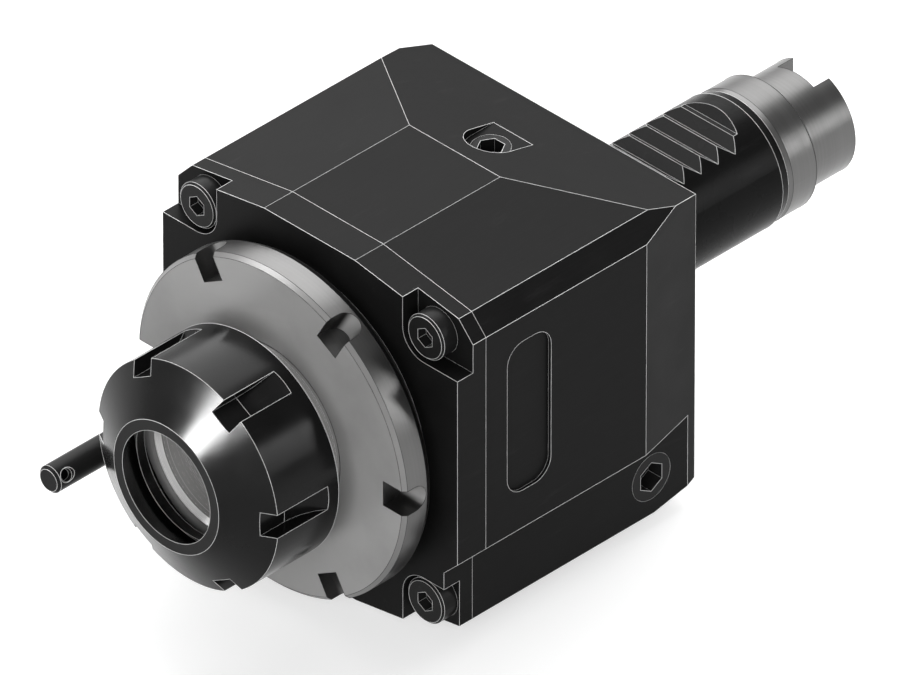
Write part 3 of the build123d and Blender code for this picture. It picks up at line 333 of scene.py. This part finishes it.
# Sight lines start this far off the surface and are longer than the part
SIGHT_GAP = 0.0002
SIGHT_LENGTH = 1.0
SIGHT_LINES = [
    Vector((x, y, z)).normalized()
    for x in (-1, 0, 1)
    for y in (-1, 0, 1)
    for z in (-1, 0, 1)
    if (x, y, z) != (0, 0, 0)
]

BRIGHT_LABELS = (
    "housing",
    "front_cover",
    "cover_screws",
    "clamping_nut",
    "extractor_ring",
    "coolant_pipe",
    "side_plug",
    "top_plug",
)
DARK_LABELS = ("bearing_lock_ring", "end_ring", "drive_coupling", "spindle")


def face_patches(mesh):
    """For each vertex, a number that all vertices of the same face of the solid share."""
    parent = list(range(len(mesh.vertices)))

    def root(i):
        while parent[i] != i:
            parent[i] = parent[parent[i]]
            i = parent[i]
        return i

    for polygon in mesh.polygons:
        first = root(polygon.vertices[0])
        for other in polygon.vertices[1:]:
            parent[root(other)] = first
    return [root(i) for i in range(len(parent))]


def rounded(point, decimals):
    return tuple(np.round(point, decimals))


def crease_edges(mesh, smallest):
    """Edges where two faces meet at more than the smallest angle, as (start, end, outward)."""
    patches = face_patches(mesh)
    vertices = np.empty(len(mesh.vertices) * 3)
    mesh.vertices.foreach_get("co", vertices)
    vertices = vertices.reshape(-1, 3)
    normals = np.empty(len(mesh.loops) * 3)
    mesh.corner_normals.foreach_get("vector", normals)
    normals = normals.reshape(-1, 3)
    sides_of = {}
    for polygon in mesh.polygons:
        corners = list(polygon.loop_indices)
        points = list(polygon.vertices)
        count = len(points)
        for i in range(count):
            j = (i + 1) % count
            edge = tuple(sorted((points[i], points[j])))
            normal = normals[corners[i]] + normals[corners[j]]
            side = (normal / np.linalg.norm(normal), patches[points[i]])
            sides_of.setdefault(edge, []).append(side)

    # Each face has vertices of its own, so an edge with one side is on a border between faces
    borders = {}
    for (a, b), sides in sides_of.items():
        if len(sides) == 1:
            ends = (rounded(vertices[a], FACE_DECIMALS), rounded(vertices[b], FACE_DECIMALS))
            borders.setdefault(tuple(sorted(ends)), []).append(sides[0])
    creases = []
    for (start, end), sides in borders.items():
        if len(sides) != 2 or start == end:
            continue
        (normal_a, patch_a), (normal_b, patch_b) = sides
        if patch_a == patch_b or float(normal_a @ normal_b) > math.cos(smallest) + COSINE_SLACK:
            continue
        creases.append((np.array(start), np.array(end), normal_a + normal_b))
    return creases


def in_sight(point, tree):
    """Whether a straight line from near the point leaves the whole part."""
    for direction in SIGHT_LINES:
        origin = point + direction * SIGHT_GAP
        if tree.ray_cast(origin, direction, SIGHT_LENGTH)[0] is None:
            return True
    return False


def edge_lines(label, tree, material, drawn):
    """One mesh of square rods along the piece's edges that can be seen.

    The edges in drawn have a line already, because another piece shares them.
    """
    piece = cad_nodes[label]
    smallest = LEAST_ANGLES.get(label, EDGE_MIN_ANGLE)
    vertices, faces = [], []
    for start, end, outward in crease_edges(piece.data, smallest):
        middle = Vector((start + end) / 2)
        radius = math.hypot(middle.x, middle.z)
        ends = (rounded(start, PIECE_DECIMALS), rounded(end, PIECE_DECIMALS))
        if ends in drawn or radius > BARE_RADII.get(label, math.inf):
            continue
        if not in_sight(middle, tree):
            continue
        drawn.add(ends)
        along = (end - start) / np.linalg.norm(end - start)
        side = np.cross(along, outward)
        side = side / np.linalg.norm(side) * EDGE_RADIUS
        up = np.cross(side, along)
        first = len(vertices)
        for end_point in (start, end):
            for offset in (side, up, -side, -up):
                vertices.append(end_point + offset)
        for i in range(4):
            j = (i + 1) % 4
            faces.append((first + i, first + j, first + 4 + j, first + 4 + i))
        faces.append((first + 3, first + 2, first + 1, first))
        faces.append((first + 4, first + 5, first + 6, first + 7))
    mesh = bpy.data.meshes.new(f"edges_{label}")
    mesh.from_pydata([tuple(v) for v in vertices], [], faces)
    mesh.materials.append(material)
    lines = bpy.data.objects.new(f"edges_{label}", mesh)
    bpy.context.scene.collection.objects.link(lines)
    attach(lines, piece["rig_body"])


all_points, all_faces = [], []
for piece in cad_nodes.values():
    first = len(all_points)
    all_points += [piece.matrix_world @ v.co for v in piece.data.vertices]
    all_faces += [[first + v for v in p.vertices] for p in piece.data.polygons]
whole_part = BVHTree.FromPolygons(all_points, all_faces)

bright_edge = edge_steel("worn_edge", low=0.62, high=0.76, metallic=0.4)
dark_edge = edge_steel("dark_edge", low=0.02, high=0.04, metallic=0.0)
drawn = set()
for label in BRIGHT_LABELS:
    edge_lines(label, whole_part, bright_edge, drawn)
for label in DARK_LABELS:
    edge_lines(label, whole_part, dark_edge, drawn)


# Floor, world, lights and camera

WHITE = grey(1.0)
SURROUNDINGS = grey(0.2)

# The floor's colour as other surfaces are lit by it, and as camera and reflections see it
FLOOR_SIZE = 30.0
FLOOR_LIT = grey(0.25)
FLOOR_SEEN = grey(0.53), grey(0.55)
FLOOR_GLOW = 0.6

FLAG_SIZE = 1.9
FLAG_DISTANCE = 1.5
FLAG_COLOUR = grey(0.02)
FLAG_GLOW = 0.25

# What the camera, the lights and the card face
TARGET = Vector((0.0, -0.031614, -0.003351))

# A long lens far away comes near to the photograph's view without perspective
CAMERA_DISTANCE = 6.2
CAMERA_LENS = 1258.2


def light_path(tree):
    """1 for camera, glossy and transmission rays, 0 for the rest."""
    path = tree.nodes.new("ShaderNodeLightPath")
    total = path.outputs["Is Camera Ray"]
    for name in ("Is Glossy Ray", "Is Transmission Ray"):
        node = tree.nodes.new("ShaderNodeMath")
        node.operation = "MAXIMUM"
        tree.links.new(total, node.inputs[0])
        tree.links.new(path.outputs[name], node.inputs[1])
        total = node.outputs[0]
    return total


def plane(name, size, material):
    """A square sheet that isn't part of the object."""
    half = size / 2
    corners = [(-half, -half, 0.0), (half, -half, 0.0), (half, half, 0.0), (-half, half, 0.0)]
    mesh = bpy.data.meshes.new(name)
    mesh.from_pydata(corners, [], [(0, 1, 2, 3)])
    mesh.materials.append(material)
    sheet = bpy.data.objects.new(name, mesh)
    bpy.context.scene.collection.objects.link(sheet)
    return sheet


def aim(thing, direction, distance):
    """Puts a light, card or camera in that direction from the target, facing it."""
    away = Vector(direction).normalized()
    thing.location = TARGET + away * distance
    thing.rotation_mode = "QUATERNION"
    thing.rotation_quaternion = away.to_track_quat("Z", "Y")


def softbox(
    name, direction, size, level, distance=2.0, turn=0, diffuse=True, glossy=True, only=()
):
    """Area light that lights a facing surface to the given level, turned about its own axis.

    Where labels are given as only, it lights those pieces and no others.
    """
    data = bpy.data.lights.new(name, "AREA")
    data.shape = "RECTANGLE"
    data.size, data.size_y = size
    data.energy = level * (math.pi * distance) ** 2
    lamp = bpy.data.objects.new(name, data)
    bpy.context.scene.collection.objects.link(lamp)
    aim(lamp, direction, distance)
    lamp.rotation_quaternion @= Quaternion((0.0, 0.0, 1.0), math.radians(turn))
    lamp.visible_camera = False
    lamp.visible_diffuse = diffuse
    lamp.visible_glossy = glossy
    if only:
        receivers = bpy.data.collections.new(f"{name}_receivers")
        for label in only:
            receivers.objects.link(cad_nodes[label])
        lamp.light_linking.receiver_collection = receivers


# The floor keeps its shadow, and camera and reflections see it nearly white
floor_finish = Finish("pale_floor", specular=0.0)
floor_grain = floor_finish.noise(floor_finish.place, scale=30.0, detail=3.0)
floor_seen = floor_finish.mix(floor_finish.spread(floor_grain), *FLOOR_SEEN)
floor_path = light_path(floor_finish.tree)
floor_glow = floor_finish.spread(floor_path, high=FLOOR_GLOW, start=0.0, end=1.0)
floor_finish.use("Base Color", floor_finish.mix(floor_path, FLOOR_LIT, floor_seen))
floor_finish.use("Emission Strength", floor_glow)
floor_finish.set("Emission Color", WHITE)
floor_finish.set("Roughness", 1.0)
floor = plane("floor", FLOOR_SIZE, floor_finish.material)
floor.location.z = cad_low[2]

# The world lights the part dimly, and camera and reflections see it white
world = bpy.data.worlds.new("studio")
bpy.context.scene.world = world
world.use_nodes = True
backdrop = world.node_tree.nodes["Background"]
mixer = world.node_tree.nodes.new("ShaderNodeMix")
mixer.data_type = "RGBA"
mixer.inputs[COLOUR_A].default_value = SURROUNDINGS
mixer.inputs[COLOUR_B].default_value = WHITE
world.node_tree.links.new(light_path(world.node_tree), mixer.inputs[MIX_FACTOR])
world.node_tree.links.new(mixer.outputs[MIXED_COLOUR], backdrop.inputs["Color"])

softbox("key_light", (-0.42, 0.34, 0.84), size=(2.9, 1.6), level=1.42, turn=-54)
softbox("front_fill", (0.55, -0.8, 0.25), size=(2.2, 2.2), level=1.12, glossy=False)
softbox("rear_fill", (-0.3, 0.92, 0.25), size=(2.2, 2.2), level=0.95, glossy=False)
softbox("left_fill", (-0.93, 0.25, 0.27), size=(2.2, 2.2), level=0.8, glossy=False)
softbox(
    "nut_highlight",
    (-0.16, -0.96, 0.22),
    size=(0.5, 0.5),
    level=4.0,
    diffuse=False,
    only=("clamping_nut", "extractor_ring", "spindle"),
)
softbox("tooth_highlight", (-0.577, -0.505, 0.642), size=(0.9, 0.9), level=0.45, diffuse=False)
softbox(
    "shank_highlight",
    (0.762, 0.577, 0.293),
    size=(0.14, 0.5),
    level=0.16,
    distance=1.2,
    diffuse=False,
)

# Dark card that reflections show on the right rear side of the turned parts
flag_finish = Finish("flag", specular=0.0)
flag_finish.set("Base Color", FLAG_COLOUR)
flag_finish.set("Emission Color", WHITE)
flag_finish.set("Emission Strength", FLAG_GLOW)
flag = plane("flag", FLAG_SIZE, flag_finish.material)
aim(flag, (0.577, 0.577, 0.577), FLAG_DISTANCE)
flag.visible_camera = False
flag.visible_diffuse = False
flag.visible_transmission = False
flag.visible_shadow = False

camera_data = bpy.data.cameras.new("camera")
camera = bpy.data.objects.new("camera", camera_data)
bpy.context.scene.collection.objects.link(camera)
camera_data.lens = CAMERA_LENS
camera_data.sensor_width = 36.0
camera_data.clip_start = 0.5
camera_data.clip_end = 50.0
aim(camera, (1.0, -1.0, 1.0), CAMERA_DISTANCE)
bpy.context.scene.camera = camera
bpy.context.scene.view_settings.view_transform = "Standard"
